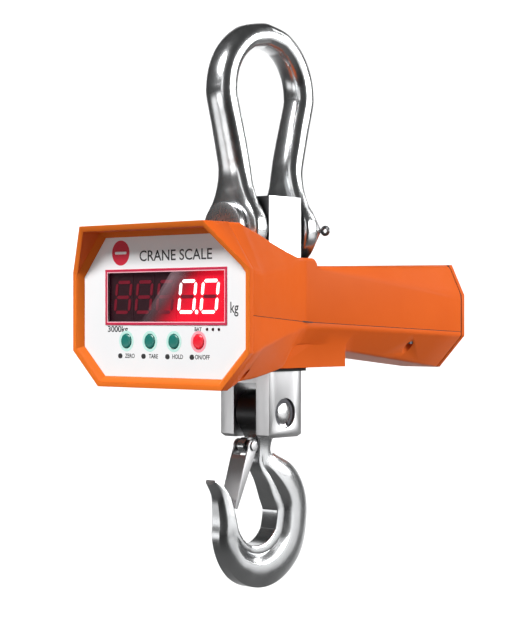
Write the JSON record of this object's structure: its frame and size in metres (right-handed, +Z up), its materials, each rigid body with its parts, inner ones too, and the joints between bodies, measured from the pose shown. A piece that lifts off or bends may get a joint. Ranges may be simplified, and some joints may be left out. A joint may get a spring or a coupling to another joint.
{
  "type": "crane scale",
  "caption": "Hanging crane scale: bow shackle, steel load cell, hooded display housing with press keys and battery box, and a swinging eye hook with a sprung latch.",
  "frame": {"origin": "the seat at the top of the shackle's opening, where the crane's hook bears", "axes": "+Z up along the line of load; the display faces -Y and the battery box runs towards +Y; X across the display"},
  "size_m": [0.204, 0.391, 0.49],
  "materials": {
    "forged_steel": "polished forged steel",
    "pin_steel": "turned, zinc plated",
    "cell_steel": "ground, nickel plated",
    "bronze": "turned",
    "black_steel": "black oxide",
    "orange_enamel": "gloss enamel on a casting",
    "rubber_seal": "matt",
    "panel_white": "satin film",
    "frame_red": "printed border",
    "window_red": "smoked red filter",
    "led_black": "matt",
    "led_lit": "lit",
    "led_dark": "unlit",
    "lamp_red": "clear tinted",
    "circuit_green": "solder mask",
    "spacer_brass": "turned",
    "chip_black": "moulded",
    "gauge_foil": "polyimide film",
    "key_teal": "domed key",
    "key_red": "domed key",
    "battery_case": "moulded",
    "tray_steel": "zinc plated sheet",
    "strap_black": "woven",
    "lead_grey": "jacket",
    "lead_red": "jacket",
    "spring_steel": "drawn wire"
  },
  "bodies": {
    "shackle": {"bow_shackle": "forged_steel", "shackle_pin": "pin_steel", "shackle_washer": "pin_steel", "shackle_nut": "pin_steel", "shackle_cotter": "pin_steel"},
    "scale": {"load_cell": "cell_steel", "pin_bush": "bronze", "strain_gauges": "gauge_foil", "gauge_cover_left": "black_steel", "gauge_cover_right": "black_steel", "bracket_front": "tray_steel", "bracket_rear": "tray_steel", "bracket_screws": "black_steel", "upper_housing": "orange_enamel", "lower_housing": "orange_enamel", "housing_gasket": "rubber_seal", "housing_screws": "black_steel", "top_boot": "rubber_seal", "bottom_boot": "rubber_seal", "front_bezel": "orange_enamel", "display_panel": "panel_white", "window_frame": "frame_red", "display_window": "window_red", "digit_modules": "led_black", "lit_segments": "led_lit", "dark_segments": "led_dark", "status_lamps": "lamp_red", "display_board": "circuit_green", "board_posts": "spacer_brass", "key_switches": "chip_black", "main_board": "circuit_green", "board_parts": "chip_black", "battery_pack": "battery_case", "battery_tray": "tray_steel", "battery_strap": "strap_black", "rear_cover": "orange_enamel", "rear_gasket": "rubber_seal", "rear_screws": "black_steel", "charge_socket": "pin_steel", "socket_nut": "pin_steel", "cell_lead": "lead_grey", "battery_lead": "lead_red", "hook_pin": "pin_steel", "pin_rings": "black_steel"},
    "hook": {"hook": "forged_steel", "hook_bush": "bronze", "latch_pin": "pin_steel", "latch_spring": "spring_steel"},
    "latch": {"latch": "pin_steel"},
    "zero_key": {"zero_key": "key_teal"},
    "tare_key": {"tare_key": "key_teal"},
    "hold_key": {"hold_key": "key_teal"},
    "power_key": {"power_key": "key_red"}
  },
  "joints": [
    {"name": "scale_swing", "type": "hinge", "parent": "shackle", "child": "scale", "pos_m": [0, 0, -0.157], "axis": [0, 1, 0], "range_deg": [-60, 60]},
    {"name": "hook_swing", "type": "hinge", "parent": "scale", "child": "hook", "pos_m": [0, 0, -0.316], "axis": [1, 0, 0], "range_deg": [-40, 40]},
    {"name": "latch_swing", "type": "hinge", "parent": "hook", "child": "latch", "pos_m": [0, -0.02, -0.344], "axis": [1, 0, 0], "range_deg": [0, 34], "stiffness_Nm_per_rad": 0.05, "springref_deg": -34.38},
    {"name": "zero_press", "type": "slide", "parent": "scale", "child": "zero_key", "axis": [0, 1, 0], "range_m": [0, 0.0008], "stiffness_N_per_m": 1200, "springref_m": -0.0004},
    {"name": "tare_press", "type": "slide", "parent": "scale", "child": "tare_key", "axis": [0, 1, 0], "range_m": [0, 0.0008], "stiffness_N_per_m": 1200, "springref_m": -0.0004},
    {"name": "hold_press", "type": "slide", "parent": "scale", "child": "hold_key", "axis": [0, 1, 0], "range_m": [0, 0.0008], "stiffness_N_per_m": 1200, "springref_m": -0.0004},
    {"name": "power_press", "type": "slide", "parent": "scale", "child": "power_key", "axis": [0, 1, 0], "range_m": [0, 0.0008], "stiffness_N_per_m": 1200, "springref_m": -0.0004}
  ]
}
